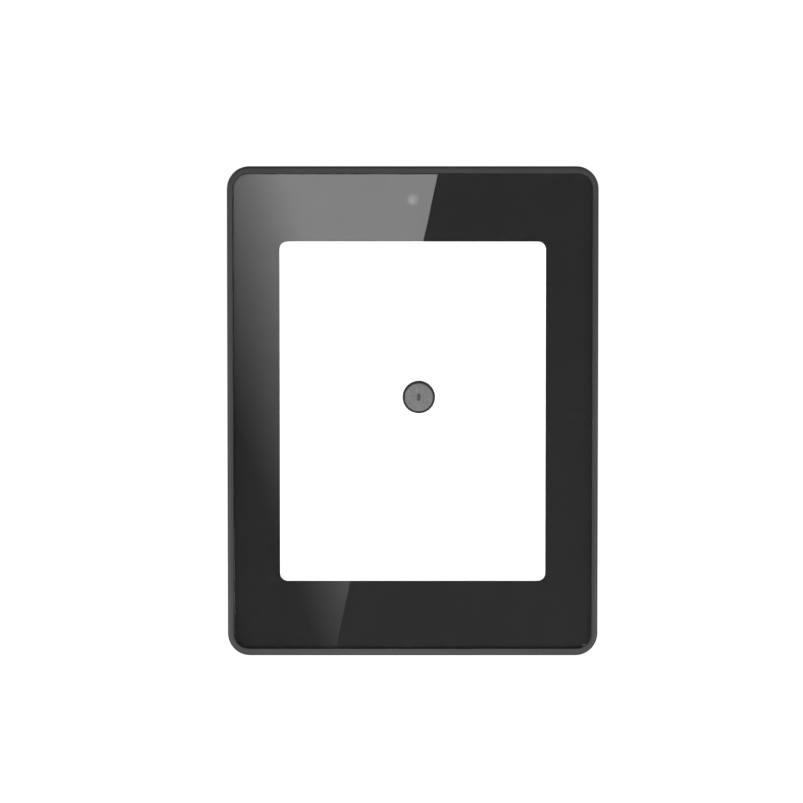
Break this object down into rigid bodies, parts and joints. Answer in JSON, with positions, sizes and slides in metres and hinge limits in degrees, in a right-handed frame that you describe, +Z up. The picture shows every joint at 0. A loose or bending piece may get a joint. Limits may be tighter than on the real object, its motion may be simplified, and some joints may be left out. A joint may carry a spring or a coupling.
{
  "type": "alarm keypad panel",
  "caption": "Upright wall-mounted touch alarm keypad panel: glass front with a lit window, round push key, camera, and a lift-off housing on a hooked wall plate",
  "frame": {"origin": "centre of the four wall-screw holes, on the wall plane at the back of the wall plate", "axes": "+X to the viewer's right, +Y into the wall, +Z up; the glass front faces -Y"},
  "size_m": [0.1524, 0.0238, 0.201],
  "materials": {
    "plate_plastic": "moulded dark grey plastic, fine texture",
    "housing_plastic": "moulded dark grey plastic, fine spark texture",
    "bezel_plastic": "painted dark grey plastic, satin",
    "cover_glass": "clear strengthened glass, polished edge",
    "black_print": "opaque black print on the back of the glass",
    "foam_tape": "thin black acrylic foam tape",
    "touch_film": "clear sensor film",
    "ribbon_film": "amber ribbon film with copper tracks",
    "diffuser_film": "milky diffuser sheet",
    "guide_acrylic": "clear acrylic",
    "white_plastic": "white moulded plastic",
    "led_phosphor": "yellow phosphor over a white package",
    "steel_sheet": "zinc plated steel sheet",
    "key_plastic": "grey moulded key, fine mottled texture",
    "mark_plastic": "darker grey inlay",
    "collar_plastic": "near black plastic",
    "silicone": "translucent white silicone rubber",
    "carbon_rubber": "conductive black rubber",
    "gold_plate": "gold plated copper",
    "circuit_board": "green solder mask over fibreglass",
    "brass": "turned brass",
    "tin_plate": "tin plated steel can",
    "chip_epoxy": "black moulded epoxy",
    "capacitor_can": "plain aluminium can",
    "socket_plastic": "ivory connector plastic",
    "terminal_plastic": "green connector plastic",
    "screw_steel": "zinc plated screw steel",
    "black_plastic": "black moulded plastic",
    "battery_wrap": "heat-shrunk pouch film",
    "white_foam": "white foam tape",
    "red_wire": "red insulated wire",
    "black_wire": "black insulated wire",
    "speaker_steel": "dark speaker frame and cone",
    "grey_foam": "dark grey sealing foam",
    "mic_can": "aluminium microphone can",
    "boot_rubber": "black rubber boot",
    "antenna_copper": "copper on amber film",
    "lens_glass": "coated lens glass",
    "spring_steel": "bright spring wire",
    "plunger_plastic": "white acetal"
  },
  "bodies": {
    "wall_mount": {"wall_plate": "plate_plastic"},
    "panel": {"rear_cover": "housing_plastic", "front_bezel": "bezel_plastic", "cover_glass": "cover_glass", "black_border": "black_print", "glass_adhesive": "foam_tape", "touch_film": "touch_film", "touch_ribbon": "ribbon_film", "diffuser_sheet": "diffuser_film", "light_guide": "guide_acrylic", "reflector_sheet": "white_plastic", "light_tray": "white_plastic", "led_board": "white_plastic", "led_chips": "led_phosphor", "chassis_plate": "steel_sheet", "key_collar": "collar_plastic", "key_dome": "silicone", "key_pads": "gold_plate", "main_board": "circuit_board", "board_standoffs": "brass", "shield_can": "tin_plate", "board_chips": "chip_epoxy", "board_capacitors": "capacitor_can", "ribbon_sockets": "socket_plastic", "lead_sockets": "socket_plastic", "terminal_header": "terminal_plastic", "terminal_plug": "terminal_plastic", "terminal_screws": "screw_steel", "buzzer": "black_plastic", "battery": "battery_wrap", "battery_pad": "white_foam", "battery_lead": "red_wire", "speaker_box": "black_plastic", "speaker_driver": "speaker_steel", "speaker_gasket": "grey_foam", "speaker_lead": "black_wire", "mic_capsule": "mic_can", "mic_boot": "boot_rubber", "wifi_antenna": "antenna_copper", "antenna_lead": "black_wire", "camera_board": "circuit_board", "camera_housing": "black_plastic", "camera_lens": "lens_glass", "camera_ribbon": "ribbon_film", "camera_screws": "screw_steel", "housing_screws": "screw_steel", "chassis_screws": "screw_steel", "board_screws": "screw_steel", "tamper_switch": "tin_plate", "tamper_spring": "spring_steel"},
    "centre_key": {"key_cap": "key_plastic", "key_mark": "mark_plastic", "key_pill": "carbon_rubber"},
    "tamper": {"tamper_plunger": "plunger_plastic"}
  },
  "joints": [
    {"name": "panel_lift", "type": "slide", "parent": "wall_mount", "child": "panel", "axis": [0, 0, 1], "range_m": [0, 0.008]},
    {"name": "key_press", "type": "slide", "parent": "panel", "child": "centre_key", "axis": [0, 1, 0], "range_m": [0, 0.0008], "stiffness_N_per_m": 2200, "deforming": ["key_dome"]},
    {"name": "tamper_press", "type": "slide", "parent": "panel", "child": "tamper", "axis": [0, -1, 0], "range_m": [0, 0.0014], "stiffness_N_per_m": 400, "deforming": ["tamper_spring"]}
  ]
}
